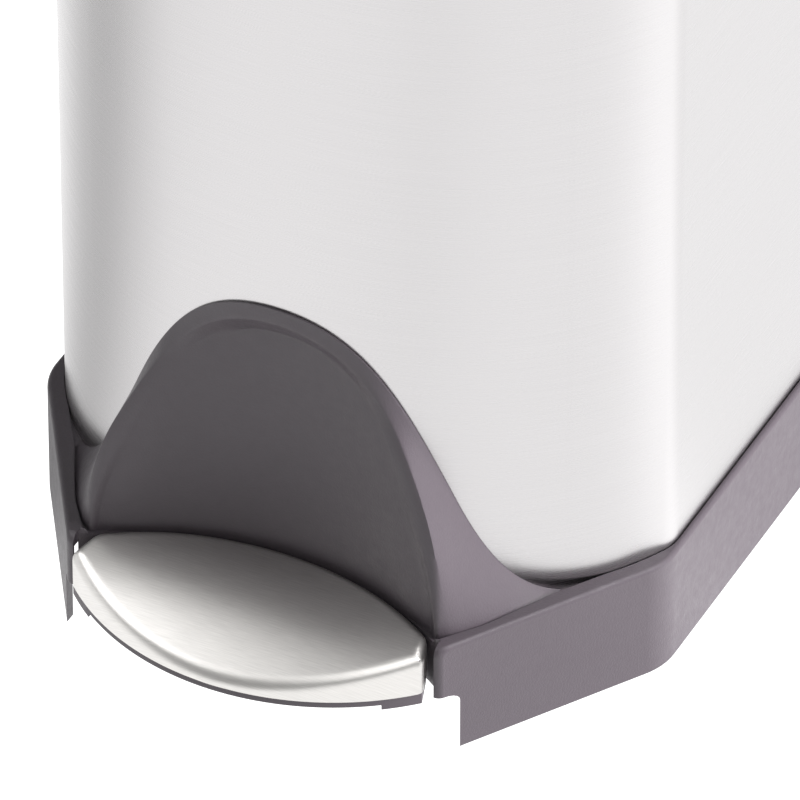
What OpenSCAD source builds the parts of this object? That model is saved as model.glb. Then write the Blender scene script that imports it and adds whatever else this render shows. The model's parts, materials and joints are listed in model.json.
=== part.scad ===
// Slim bow-fronted pedal trash can with two lids that part along the middle.
// Millimetres, +Z up, the pedal faces -Y. Every sub-part is drawn in working
// coordinates (x = 0 on the plane of symmetry, y = 0 at the front legs of the
// skirt, z = 0 at the skirt's lower edge) and in_frame() sets it on the floor,
// centred on the origin.

/* [Overall] */
// Overall width, over the skirt
can_w = 244; // [240:1:248]
// Overall depth, from the nose of the pedal to the rear cover
can_d = 478; // [470:1:490]
// Overall height with the lids shut
can_h = 595; // [560:1:640]

/* [Steel body] */
// Thickness of the steel sheet
sheet_t = 1; // [0.8:0.1:1.2]
// Radius of the bow across the front
bow_r = 200; // [190:1:210]
// Half of the angle that the bow turns through
bow_angle = 11.5; // [11:0.1:12]
// Radius of the shoulders beside the bow
shoulder_r = 110; // [106:1:114]
// Radius between a shoulder and the side
corner_r = 20; // [18:1:22]
// Radius of the back corners
back_r = 25; // [22:1:28]
// How far the front of the steel stands behind the front legs
bow_y = 9.5; // [9:0.1:10]
// Half width of the opening that the rear cover closes
seam_half = 34; // [33:1:36]

/* [Skirt] */
// Height of the skirt
skirt_h = 46; // [45.5:0.1:46.5]
// Thickness of the moulded walls
wall_t = 2.5; // [2.2:0.1:2.8]
// How far the feet stand out below the skirt
foot_drop = 1.5; // [1:0.1:2]
// Angle of the straight flanks beside the pedal, from the X axis
flank_angle = 57.7; // [57.5:0.1:58]
// Radius between a flank and the side
flank_r = 27; // [25:1:28]
// Height of the notch beside the pedal
notch_h = 24.5; // [22:0.5:25]

/* [Arch trim] */
// Radius of the scooped panel behind the pedal
scoop_r = 120; // [119:0.5:121]
// Place of the middle of the scooped panel
scoop_y = 16.5; // [16.3:0.1:17]
// Thickness of the panel
panel_t = 2.5; // [2:0.1:2.8]

/* [Pedal] */
// Half width of the pedal
pedal_half = 68.5; // [66:0.5:68.5]
// How far the nose of the pedal stands in front of the legs
pedal_reach = 43; // [41:0.5:45]
// Radius of the pedal's front edge seen from above
nose_r = 97; // [95:1:100]
// Radius of the pedal's top, which rolls down to the nose
roll_r = 108; // [106:1:112]
// Angle that the pedal turns when it is pressed
pedal_angle = 5.6; // [4.5:0.1:5.8]

/* [Lift] */
// Place of the pedal's pivot
pivot_y = 215; // [212:1:218]
// Height of the pedal's pivot
pivot_z = 20; // [19:0.5:21]
// Place of the push rod
rod_y = 414; // [413:0.5:415]
// Diameter of the push rod
rod_d = 6; // [5:0.5:6.5]

/* [Lids] */
// Angle that each lid opens
lid_angle = 80; // [70:1:82]
// Distance of each hinge axis from the middle
hinge_x = 112.5; // [112:0.1:112.8]
// Diameter of the hinge rods
hinge_d = 4; // [3.6:0.1:4.2]
// Gap between the two lids
lid_gap = 1.6; // [1.2:0.1:2.4]

/* [Bucket] */
// Gap between the bucket and the steel body
bucket_gap = 9.5; // [9.3:0.1:11]
// Wall thickness of the bucket
bucket_t = 2; // [1.8:0.1:2.6]

/* [Hidden] */

$fn = 96;
eps = 0.01;
far = 1000;

steel = "lightgray";
plastic = "dimgray";
black = [0.12, 0.12, 0.13];
zinc = "silver";

// Frame
mid_y = can_d/2 - pedal_reach;
back_y = can_d - pedal_reach;
top_z = can_h - foot_drop;
module in_frame() translate([0, -mid_y, foot_drop]) children();
module both_sides() { children(); mirror([1, 0, 0]) children(); }

// Plan of the steel body: a bow, two shoulders, two corners, straight sides, a flat back
half_w = can_w/2 - 2.5;
cover_t = 7;
body_back = back_y - cover_t;
bow_c = [0, bow_y + bow_r];
shoulder_c = bow_c + (bow_r - shoulder_r)*[sin(bow_angle), -cos(bow_angle)];
shoulder_angle = asin((half_w - corner_r - shoulder_c.x)/(shoulder_r - corner_r));
corner_c = shoulder_c + (shoulder_r - corner_r)*[sin(shoulder_angle), -cos(shoulder_angle)];
function steel_y(x) = let (a = abs(x))
  a <= bow_r*sin(bow_angle) ? bow_c.y - sqrt(bow_r^2 - a^2)
  : a <= shoulder_c.x + shoulder_r*sin(shoulder_angle)
    ? shoulder_c.y - sqrt(shoulder_r^2 - (a - shoulder_c.x)^2)
    : corner_c.y - sqrt(corner_r^2 - (a - corner_c.x)^2);

function arc(centre, r, from, to, n, first = 0) = [
  for (i = [first:n]) let (a = from + (to - from)*i/n) centre + r*[cos(a), sin(a)]
];
function flip(p) = [-p.x, p.y];
module body_plan(d, back = body_back, rb = back_r) polygon(concat(
  arc(bow_c, bow_r + d, -90 - bow_angle, -90 + bow_angle, 14, 1),
  arc(shoulder_c, shoulder_r + d, -90 + bow_angle, -90 + shoulder_angle, 16, 1),
  arc(corner_c, corner_r + d, -90 + shoulder_angle, 0, 6, 1),
  arc([half_w - rb, back - rb], rb + d, 0, 90, 8),
  arc([rb - half_w, back - rb], rb + d, 90, 180, 8),
  arc(flip(corner_c), corner_r + d, 180, 270 - shoulder_angle, 6),
  arc(flip(shoulder_c), shoulder_r + d, 270 - shoulder_angle, 270 - bow_angle, 16, 1)
));

// Plan of the skirt: straight flanks beside the pedal, tight corners, straight sides
skirt_half = can_w/2;
skirt_back = back_y - 3.5;
skirt_back_r = back_r + 2.5;
tab_y = -10;
flank_n = [sin(flank_angle), -cos(flank_angle)];
flank_p = [86.1, 11.5];
flank_cx = skirt_half - flank_r;
flank_cy = flank_p.y + (flank_n.x*(flank_cx - flank_p.x) + flank_r)/cos(flank_angle);
function flank_at(y, d) = flank_p.x + ((y - flank_p.y)*cos(flank_angle) + d)/sin(flank_angle);

module skirt_plan(d) polygon(concat(
  [[flank_at(tab_y, d), tab_y]],
  arc([flank_cx, flank_cy], flank_r + d, flank_angle - 90, 0, 8),
  arc([skirt_half - skirt_back_r, skirt_back - skirt_back_r], skirt_back_r + d, 0, 90, 8),
  arc([skirt_back_r - skirt_half, skirt_back - skirt_back_r], skirt_back_r + d, 90, 180, 8),
  arc([-flank_cx, flank_cy], flank_r + d, 180, 270 - flank_angle, 8),
  [[-flank_at(tab_y, d), tab_y]]
));

// Scoop behind the pedal, an upright cylinder that is open to the front
scoop_cy = scoop_y - scoop_r;
function scoop_at(x) = scoop_cy + sqrt(scoop_r^2 - x^2);
module scoop(d) translate([0, scoop_cy]) circle(scoop_r + d);

// Levels
deck_t = 3;
deck_z = skirt_h - 2;
shell_top = top_z - 45.5;
collar_top = top_z - 24.3;
hinge_z = top_z - 19.5;
lid_top = top_z - 2;
collar_foot = shell_top - 8;

// Arch outlines, half each, from the top of the arch down to its foot
foot_x = 94;
crease_x = 69;
arch_outer = [
  [[0, 157], [32, 157], [47, 130], [63, 89]],
  [[63, 89], [71, 68.5], [80, 49], [foot_x, deck_z]]
];
arch_crease = [
  [[0, 149], [28, 149], [46, 122], [60, 92]],
  [[60, 92], [66, 79], [69, 64], [crease_x, deck_z]]
];
arch_panel = [
  [[0, 142], [24, 142], [37, 130], [48, 98]],
  [[48, 98], [55, 82], [64, 66], [65, deck_z]]
];
function bezier(p, t) = p[0]*(1 - t)^3 + 3*p[1]*t*(1 - t)^2 + 3*p[2]*t^2*(1 - t) + p[3]*t^3;
function along(arch, s) = s <= 0.5 ? bezier(arch[0], 2*s) : bezier(arch[1], 2*s - 1);
function mix(a, b, t) = a*(1 - t) + b*t;

// The foot of the arch trim seen from above, which the skirt's ledge leaves free,
// with the narrow gap that runs on from it until the ledge meets the steel
foot_gap = 0.3;
tail_lip = 4.5;
gap_end = 107;
module arch_foot_plan() {
  foot = [for (c = [len(band) - 1:-1:0])
    [trim_xz(1, c).x + foot_gap, trim_front(1, c) - foot_gap]];
  half = concat(foot, [[gap_end, steel_y(gap_end) - foot_gap], [foot_x, steel_y(foot_x) + 20]]);
  polygon(concat(half, [for (i = [len(half) - 1:-1:0]) flip(half[i])]));
}

// Lever and linkage, at rest
rear_arm = rod_y - pivot_y;
lift = 2*rear_arm*sin(pedal_angle/2);
crank_r = lift/(2*sin(lid_angle/2));
pin_z = pivot_z - lift/2;
crank_pin_x = hinge_x - crank_r*cos(lid_angle/2);
crank_pin_z = hinge_z - lift/2;
lever_x = 18;
lever_t = 2.5;
axle_d = 8;
axle_run = 0.05;
pin_d = 6;
crank_pin_d = 4;
fit = 0.3;
boss_reach = 40;

// Where the parts of the lift stand, front to back
lid_back = 385;
boss_y = 390;
boss_t = 6;
crank_y = 397.5;
crank_t = 4;
yoke_y = 403;
yoke_t = 4;

// Shared pieces
screw_bore = 1.6;
module screw(length, head = 3.2) {
  difference() {
    union() {
      cylinder(h = 2, r1 = head, r2 = head - 0.4);
      translate([0, 0, -length]) cylinder(h = length + eps, r = head/2);
    }
    for (a = [0, 90]) rotate([0, 0, a]) translate([-head*0.6, -0.4, 1]) cube([head*1.2, 0.8, 2]);
  }
}
module block(x, y, z) translate([x[0], y[0], z[0]]) cube([x[1] - x[0], y[1] - y[0], z[1] - z[0]]);
module rod_x(y, z, r, x) translate([x[0], y, z]) rotate([0, 90, 0]) cylinder(h = x[1] - x[0], r = r);
module rod_along_y(x, z, r, y)
  translate([x, y[0], z]) rotate([-90, 0, 0]) cylinder(h = y[1] - y[0], r = r);

// ---- Base ----
bay_half = 70.2;
notch_half = 77;
post_xy = [[98, 92], [98, 392]];
post_r = 9;
foot_stem_r = 2.5;
strap_y = [364, 380];
strap_t = 2;
boss_x = [lever_x + lever_t + 1, lever_x + lever_t + 8];
module base_frame() color(plastic) in_frame() difference() {
  union() {
    linear_extrude(skirt_h) difference() { skirt_plan(0); skirt_plan(-wall_t); }
    translate([0, 0, deck_z - deck_t]) linear_extrude(deck_t) skirt_plan(-wall_t + eps);
    translate([0, 0, deck_z - eps]) linear_extrude(skirt_h - deck_z + eps) skirt_plan(-wall_t + eps);
    translate([0, 0, notch_h]) linear_extrude(deck_z - notch_h) intersection() {
      difference() { scoop(wall_t); scoop(0); }
      translate([-bay_half, tab_y]) square([2*bay_half, 40]);
    }
    both_sides() {
      block(boss_x, [pivot_y - 11, pivot_y + 11], [pivot_z - 9, deck_z - 1]);
      for (p = post_xy) translate([p.x, p.y, 1]) cylinder(h = deck_z - 2, r = post_r);
    }
    block([-skirt_half + 1, skirt_half - 1], strap_y, [0, strap_t]);
  }
  // seat of the steel body and of the arch trim
  translate([0, 0, deck_z]) linear_extrude(far) { body_plan(0.3); arch_foot_plan(); }
  // bay in front of the scoop, between the two tabs
  translate([0, 0, -1]) linear_extrude(far) intersection() {
    scoop(0);
    translate([-bay_half, -far]) square([2*bay_half, far + 40]);
  }
  // notches below the tabs
  block([-notch_half, notch_half], [tab_y - 10, 4], [-1, notch_h]);
  // way for the lever through the scoop's wall
  block([-lever_x - 4, lever_x + 4], [0, 40], [-1, pocket_z + 3]);
  // well for the push rod, bores of the axle, of the feet and of the screws
  block([-20, 20], [rod_y - 11, rod_y + 9], [deck_z - 10, deck_z + 1]);
  rod_x(pivot_y, pivot_z, axle_d/2, [-boss_reach, boss_reach]);
  both_sides() {
    for (p = post_xy) translate([p.x, p.y, 0]) cylinder(h = 8, r = foot_stem_r);
    for (y = channel_screw_y) translate([channel_screw_x, y, 0]) cylinder(h = far, r = screw_bore);
  }
}

module rubber_feet() color(black) in_frame() both_sides() for (p = post_xy) translate([p.x, p.y, 0]) {
  translate([0, 0, -foot_drop]) cylinder(h = foot_drop + 1, r = post_r - 1.5);
  cylinder(h = 7, r = foot_stem_r);
}

module base_screws() color(zinc) in_frame() both_sides()
  for (y = channel_screw_y) translate([channel_screw_x, y, deck_z - deck_t]) mirror([0, 0, 1]) screw(5);

module pedal_axle() color(zinc) in_frame()
  rod_x(pivot_y, pivot_z, axle_d/2, [-boss_x[1] - 3, boss_x[1] + 3]);

module axle_clips() color(zinc) in_frame() both_sides() difference() {
  rod_x(pivot_y, pivot_z, axle_d/2 + 3, [boss_x[1] + 0.4, boss_x[1] + 1.4]);
  rod_x(pivot_y, pivot_z, axle_d/2, [0, boss_reach]);
}

module lever_rest_pad() color(black) in_frame()
  block([-lever_x - 5, lever_x + 5], [strap_y[0] + 2, strap_y[1] - 2], [strap_t, pad_z]);

// ---- Body ----
cutout = 0.42;
module arch_cutout() rotate([90, 0, 0]) translate([0, 0, -60]) linear_extrude(80) polygon(concat(
  [[-mix(foot_x, crease_x, cutout), 0]],
  [for (i = [24:-1:0]) let (p = arch_mid(i/24, cutout)) [-p.x, p.y]],
  [for (i = [1:24]) arch_mid(i/24, cutout)],
  [[mix(foot_x, crease_x, cutout), 0]]
));
function arch_mid(s, f) = mix(along(arch_outer, s), along(arch_crease, s), f);

module body_shell() color(steel) in_frame() difference() {
  translate([0, 0, deck_z]) linear_extrude(shell_top - deck_z)
    difference() { body_plan(0); body_plan(-sheet_t); }
  arch_cutout();
  block([-seam_half, seam_half], [body_back - 4, body_back + 4], [0, far]);
  both_sides() for (z = rear_screw_z)
    rod_along_y(rear_screw_x, z, screw_bore, [body_back - 5, body_back + 5]);
}

// The trim is one skin: a front sheet and a back sheet of points, joined round the edge.
// Each level holds the band from the outer edge in to the crease and the panel's edge,
// then the scooped panel across to the other side.
// At its tail the trim stands further off the steel.
lip_t = 1;
tail_s = 0.8;
function lip(s) = lip_t + (tail_lip - lip_t)*(max(0, s - tail_s)/(1 - tail_s))^2;
seat = 0.15;
band = [0, 0.25, 0.5, 0.6, 1];
seat_cols = 3;
levels = 22;
across = 6;
half_cols = len(band) + across;
function crease_depth(x) = min(scoop_at(x) + 1.5, steel_y(x) - lip_t);
function trim_xz(s, c) = c < len(band) ? arch_mid(s, band[c])
  : let (p = along(arch_panel, s)) [p.x*(1 - (c - len(band))/across), p.y];
function trim_front(s, c) = let (p = trim_xz(s, c), k = along(arch_crease, s)) c < len(band)
  ? mix(steel_y(p.x) - lip(s), crease_depth(k.x) + (steel_y(p.x) - steel_y(k.x))*(1 - band[c]), band[c])
  : scoop_at(p.x);
function trim_back(s, c) = c < seat_cols ? steel_y(trim_xz(s, c).x) - seat : trim_front(s, c) + panel_t;
function trim_point(s, c, side, back) = let (p = trim_xz(s, c))
  [side*p.x, back ? trim_back(s, c) : trim_front(s, c), p.y];
// a level runs from the left edge to the right edge; the top of the arch is a half level
row_len = 2*half_cols + 1;
top_len = half_cols - across + 1;
sheet_len = top_len + levels*row_len;
function sheet(back) = concat(
  [for (c = [0:top_len - 1]) trim_point(0, c, 1, back)],
  [for (i = [1:levels], c = [0:row_len - 1])
    trim_point(i/levels, c <= half_cols ? c : 2*half_cols - c, c <= half_cols ? -1 : 1, back)]
);
function at(i, c) = i == 0 ? min(min(c, 2*half_cols - c), top_len - 1) : top_len + (i - 1)*row_len + c;
function tri(a, b, c) = a == b || b == c || a == c ? [] : [[a, b, c]];
function quad(a, b, c, d) = concat(tri(a, b, c), tri(a, c, d));
function flat(l) = [for (a = l) for (b = a) b];
module arch_trim() color(plastic) in_frame() polyhedron(
  points = concat(sheet(false), sheet(true)),
  faces = flat(concat(
    [for (i = [0:levels - 1], c = [0:row_len - 2])
      quad(at(i, c), at(i, c + 1), at(i + 1, c + 1), at(i + 1, c))],
    [for (i = [0:levels - 1], c = [0:row_len - 2])
      quad(sheet_len + at(i, c), sheet_len + at(i + 1, c), sheet_len + at(i + 1, c + 1),
           sheet_len + at(i, c + 1))],
    [for (i = [0:levels - 1])
      quad(at(i, 0), at(i + 1, 0), sheet_len + at(i + 1, 0), sheet_len + at(i, 0))],
    [for (i = [0:levels - 1]) let (c = row_len - 1)
      quad(at(i + 1, c), at(i, c), sheet_len + at(i, c), sheet_len + at(i + 1, c))],
    [for (c = [0:row_len - 2])
      quad(at(levels, c), at(levels, c + 1), sheet_len + at(levels, c + 1), sheet_len + at(levels, c))]
  )),
  convexity = 8
);

// ---- Rear channel, rod guides and damper ----
channel_half = 30;
channel_front = 398;
channel_screw_y = [404, 420];
channel_screw_x = channel_half + 5;
flange_half = channel_half + 10;
channel_top = collar_foot - 1;
guide_z = [120, 300, 470];
damper_x = -17;
damper_r = 7;
damper_z = [shell_top - 118, shell_top - 34];
pad_z = pin_z - 4.4;
module rod_channel() color(plastic) in_frame() difference() {
  union() {
    difference() {
      block([-channel_half, channel_half], [channel_front, body_back - 1.2], [deck_z, channel_top]);
      block([2 - channel_half, channel_half - 2], [channel_front + 2, far], [deck_z - 1, far]);
    }
    both_sides() {
      block([channel_half - 1, flange_half], [channel_front, body_back - 4], [deck_z, deck_z + 2]);
      block([channel_half - 2, flange_half], [body_back - 3.2, body_back - 1.2], [deck_z, channel_top]);
    }
  }
  both_sides() {
    for (y = channel_screw_y) translate([channel_screw_x, y, 0]) cylinder(h = far, r = screw_bore);
    for (z = rear_screw_z) rod_along_y(rear_screw_x, z, screw_bore, [body_back - 5, body_back]);
  }
}

module rod_guides() color(black) in_frame() for (z = guide_z) difference() {
  block([2 - channel_half, channel_half - 2], [channel_front + 2, body_back - 4], [z, z + 8]);
  translate([0, rod_y, z - 1]) cylinder(h = 10, r = rod_d/2 + axle_run);
  block([-channel_half + 6, -7], [channel_front + 6, far], [z - 1, z + 9]);
  block([7, channel_half - 6], [channel_front + 6, far], [z - 1, z + 9]);
}

module damper_cylinder() color(black) in_frame() translate([damper_x, rod_y, 0]) difference() {
  translate([0, 0, damper_z[0]]) cylinder(h = damper_z[1] - damper_z[0], r = damper_r);
  translate([0, 0, damper_z[0] + 8]) cylinder(h = far, r = 4.6);
}

clip_z = [damper_z[0] + 8, damper_z[1] - 20];
module damper_clips() color(plastic) in_frame() for (z = clip_z) difference() {
  block([2 - channel_half, damper_x + 9], [channel_front + 2, rod_y + 4], [z, z + 10]);
  translate([damper_x, rod_y, z - 1]) cylinder(h = 12, r = damper_r);
}

cover_half = 46;
cover_top = collar_foot - 1;
rear_screw_x = seam_half + 2.5;
rear_screw_z = [70, 300, 520];
module rear_cover() color(plastic) in_frame() difference() {
  union() {
    translate([0, back_y, 0]) rotate([90, 0, 0]) linear_extrude(cover_t - 0.3) polygon([
      [8 - cover_half, skirt_h + 2], [cover_half - 8, skirt_h + 2], [cover_half, skirt_h + 10],
      [cover_half, cover_top - 8], [cover_half - 8, cover_top], [8 - cover_half, cover_top],
      [-cover_half, cover_top - 8], [-cover_half, skirt_h + 10]]);
    block([0.5 - seam_half, seam_half - 0.5], [body_back - 1, back_y - 3], [skirt_h + 2, cover_top]);
  }
  // hollow inside, so that a moulded wall is left
  block([4 - seam_half, seam_half - 4], [body_back - 2, back_y - wall_t], [skirt_h + 6, cover_top - 4]);
  both_sides() for (z = rear_screw_z) {
    rod_along_y(rear_screw_x, z, screw_bore, [body_back - 2, back_y + 1]);
    rod_along_y(rear_screw_x, z, 3.6, [back_y - 2.5, back_y + 1]);
  }
}

module rear_cover_screws() color(zinc) in_frame() both_sides() for (z = rear_screw_z)
  translate([rear_screw_x, back_y - 2.5, z]) rotate([-90, 0, 0]) screw(7);

// ---- Top ----
ledge_z = collar_top - 2;
ear_y = [84, 92];
eye_r = 3.4;
collar_screw_xy = [[60, 396], [92, 396]];
module hinge_ear(y, x) difference() {
  union() {
    block(x, y, [shell_top + 1, hinge_z]);
    rod_along_y(hinge_x, hinge_z, eye_r, y);
  }
  rod_along_y(hinge_x, hinge_z, hinge_d/2 + axle_run, [y[0] - 1, y[1] + 1]);
}
module top_collar() color(black) in_frame() difference() {
  union() {
    translate([0, 0, collar_foot]) linear_extrude(collar_top - collar_foot)
      difference() { body_plan(1.2); body_plan(-3); }
    // ledge inside, which carries the bumpers and hides the bucket's rim
    translate([0, 0, ledge_z - 3]) linear_extrude(3) difference() { body_plan(-2.9); body_plan(-9); }
    // shelf behind the opening, under the lift
    translate([0, 0, shell_top - 3]) linear_extrude(5) intersection() {
      body_plan(-2);
      translate([-far/2, lid_back + 1]) square(far);
    }
    // partition between the bucket and the lift
    translate([0, 0, collar_foot]) linear_extrude(collar_top - collar_foot - 1) intersection() {
      body_plan(-2);
      translate([-far/2, lid_back + 1]) square([far, 2.5]);
    }
    both_sides() {
      hinge_ear(ear_y, [hinge_x - eye_r, hinge_x + 4.2]);
      hinge_ear([boss_y, boss_y + boss_t], [hinge_x - eye_r, hinge_x + eye_r]);
    }
  }
  // groove for the top edge of the steel
  translate([0, 0, shell_top - 9]) linear_extrude(9)
    difference() { body_plan(0.2); body_plan(-sheet_t - 0.2); }
  // ways for the rod and the damper, and for the top of the channel
  block([-26, 12], [rod_y - 10.5, rod_y + 9], [shell_top - 9, far]);
  // ways for the lids' hinge rods over the partition
  both_sides() block([hinge_x - 5, hinge_x + 3.6], [lid_back, boss_y - 0.4], [hinge_z - 6, far]);
  both_sides() for (p = collar_screw_xy) translate([p.x, p.y, 0]) cylinder(h = far, r = screw_bore);
}

module collar_screws() color(zinc) in_frame() both_sides()
  for (p = collar_screw_xy) translate([p.x, p.y, shell_top + 2]) screw(6);

bumper_x = [22, 70];
module lid_bumpers() color(black) in_frame() both_sides() for (x = bumper_x)
  translate([x, steel_y(x) + 6.6, ledge_z]) {
    cylinder(h = 4, r = 2.5);
    cylinder(h = lid_floor - ledge_z - 0.1, r = 1.8);
  }

module mechanism_cover() color(plastic) in_frame() difference() {
  translate([0, 0, collar_top + 0.3]) linear_extrude(top_z - collar_top - 0.3) intersection() {
    body_plan(-2);
    translate([-far/2, lid_back + 1.5]) square(far);
  }
  translate([0, 0, collar_top - 1]) linear_extrude(top_z - 2 - collar_top + 1) intersection() {
    body_plan(-3.5);
    translate([-far/2, lid_back + 3.5]) square(far);
  }
  both_sides() block([hinge_x - 4.5, hinge_x + 3.5], [lid_back, boss_y], [0, hinge_z + 4]);
}

// ---- Bucket ----
bucket_back = lid_back - 2;
bucket_floor = deck_z + 2;
bucket_top = shell_top - 12;
module bucket_plan(d) body_plan(d - bucket_gap, bucket_back + bucket_gap, back_r + 10);
grip_y = [150, 210];
grip_z = bucket_top - 42;
module inner_bucket() color(black) in_frame() difference() {
  union() {
    translate([0, 0, bucket_floor]) linear_extrude(bucket_top - bucket_floor) bucket_plan(-0.6);
    translate([0, 0, bucket_top - 6]) linear_extrude(6) bucket_plan(0);
    both_sides() for (y = [110, 350]) translate([70, y, deck_z]) cylinder(h = 3, r = 8);
  }
  translate([0, 0, bucket_floor + 2.5]) linear_extrude(far) bucket_plan(-0.6 - bucket_t);
  // finger holes near the rim
  for (y = grip_y) rod_x(y, grip_z, 12, [-far, far]);
  block([-far, far], grip_y, [grip_z - 12, grip_z + 12]);
}

// ---- Pedal ----
base_z = 26.5;
cover_z = 29;
pedal_top = 47;
roll_y = 10;
pedal_sheet = 1.2;
end_y = nose_r - pedal_reach - sqrt(nose_r^2 - pedal_half^2);
end_slant = 0.35;
end_run = 40;
module pedal_plan(d) intersection() {
  translate([0, nose_r - pedal_reach]) circle(nose_r + d);
  translate([0, scoop_cy]) circle(scoop_r - 0.8 + d);
  // straight ends, which draw in towards the rear
  polygon([
    [-pedal_half - d, -far], [pedal_half + d, -far], [pedal_half + d, end_y],
    [pedal_half + d - end_slant*end_run, end_y + end_run],
    [end_slant*end_run - pedal_half - d, end_y + end_run], [-pedal_half - d, end_y]
  ]);
}
module pedal_solid(d, z) intersection() {
  translate([0, 0, z]) linear_extrude(60) pedal_plan(d);
  rod_x(roll_y, pedal_top - roll_r, roll_r + d, [-far, far]);
}
module pedal_cover() color(steel) in_frame() difference() {
  pedal_solid(0, cover_z);
  pedal_solid(-pedal_sheet, cover_z - 1);
  // way for the lever through the rear edge
  block([-lever_x - 3, lever_x + 3], [0, 40], [0, pocket_z + 0.4]);
}
pocket_z = 33;
end_lip_z = 24.5;
end_lip_x = 57;
module pedal_base() color(black) in_frame() difference() {
  union() {
    pedal_solid(-pedal_sheet, base_z);
    translate([0, 0, base_z]) linear_extrude(cover_z - base_z) pedal_plan(-0.4);
    // lips at the two ends of the pedal
    translate([0, 0, end_lip_z]) linear_extrude(cover_z - end_lip_z) difference() {
      pedal_plan(-0.4);
      pedal_plan(-0.4 - wall_t);
      square([2*end_lip_x, far], center = true);
    }
  }
  block([-lever_x - 3, lever_x + 3], [-32, 40], [0, pocket_z]);
  for (p = pedal_screw_xy) translate([p.x, p.y, 0]) cylinder(h = pocket_z + 6, r = screw_bore);
}
// side of the lever, from its front end back along the lower edge and forward along the upper one
lever_profile = [
  [-30, pocket_z - 6], [10, pocket_z - 7], [60, 18],
  [pivot_y - 60, pivot_z - 7], [pivot_y + 30, pivot_z - 8],
  [rod_y - 40, pin_z - 4], [rod_y + 5, pin_z - 4], [rod_y + 5, pin_z + 5],
  [pivot_y + 60, pivot_z + 6], [pivot_y, pivot_z + 8],
  [60, pocket_z - 1], [10, pocket_z], [-30, pocket_z]
];
pedal_screw_xy = [[-9, -18], [9, -18], [-9, 2], [9, 2]];
module pedal_lever() color(zinc) in_frame() difference() {
  union() {
    both_sides() translate([lever_x, 0, 0]) rotate([90, 0, 90])
      linear_extrude(lever_t) polygon(lever_profile);
    block([-lever_x - 1, lever_x + 1], [-30, 14], [pocket_z - lever_t, pocket_z]);
    block([-lever_x - 1, lever_x + 1], [130, 190], [pivot_z + 2, pivot_z + 2 + lever_t]);
    block([-lever_x - 1, lever_x + 1], [250, 330], [pivot_z - 4, pivot_z - 4 + lever_t]);
  }
  rod_x(pivot_y, pivot_z, axle_d/2 + axle_run, [-boss_reach, boss_reach]);
  rod_x(rod_y, pin_z, pin_d/2, [-boss_reach, boss_reach]);
  for (p = pedal_screw_xy) translate([p.x, p.y, 0]) cylinder(h = far, r = screw_bore);
}
module pedal_screws() color(zinc) in_frame()
  for (p = pedal_screw_xy) translate([p.x, p.y, pocket_z - lever_t]) mirror([0, 0, 1]) screw(7);

module lever_pin() color(zinc) in_frame()
  rod_x(rod_y, pin_z, pin_d/2, [-lever_x - lever_t - 1, lever_x + lever_t + 1]);

// ---- Lift ----
foot_half = lever_x - 3;
module rod_foot() color(black) in_frame() difference() {
  block([-foot_half, foot_half], [rod_y - 9, rod_y + 7], [pin_z - 6, pin_z + 16]);
  // slot in which the lever's pin slides
  rod_x(rod_y - 1, pin_z, pin_d/2 + fit, [-far, far]);
  rod_x(rod_y + 1, pin_z, pin_d/2 + fit, [-far, far]);
  block([-far, far], [rod_y - 1, rod_y + 1], [pin_z - pin_d/2 - fit, pin_z + pin_d/2 + fit]);
  translate([0, rod_y, pin_z + 6]) cylinder(h = 20, r = rod_d/2);
}
yoke_half = hinge_x - 7;
yoke_z = [crank_pin_z - 5.5, crank_pin_z + 4.6];
slot_z = crank_pin_d/2 + 0.55;
slot_x = [hinge_x - crank_r - slot_z - 0.3, crank_pin_x + slot_z + 0.2];
module push_rod() color(zinc) in_frame()
  translate([0, rod_y, pin_z + 6]) cylinder(h = yoke_z[1] - pin_z - 8, r = rod_d/2);

module lift_yoke() color(zinc) in_frame() difference() {
  union() {
    block([-yoke_half, yoke_half], [yoke_y, yoke_y + yoke_t], yoke_z);
    block([-8, 8], [yoke_y, rod_y + 6], [yoke_z[0] - 4, yoke_z[1] - 1]);
    block([damper_x - 6, 0], [rod_y - 4, rod_y + 4], [yoke_z[0] - 4, yoke_z[0]]);
  }
  translate([0, rod_y, 0]) cylinder(h = yoke_z[1] - 2, r = rod_d/2);
  translate([damper_x, rod_y, 0]) cylinder(h = far, r = 2);
  both_sides()
    block(slot_x, [yoke_y - 1, yoke_y + yoke_t + 1], [crank_pin_z - slot_z, crank_pin_z + slot_z]);
}
module damper_rod() color(zinc) in_frame() translate([damper_x, rod_y, 0]) {
  translate([0, 0, damper_z[1] - 40]) cylinder(h = yoke_z[0] - damper_z[1] + 40, r = 2);
  translate([0, 0, damper_z[1] - 40]) cylinder(h = 5, r = 4.3);
}

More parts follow.
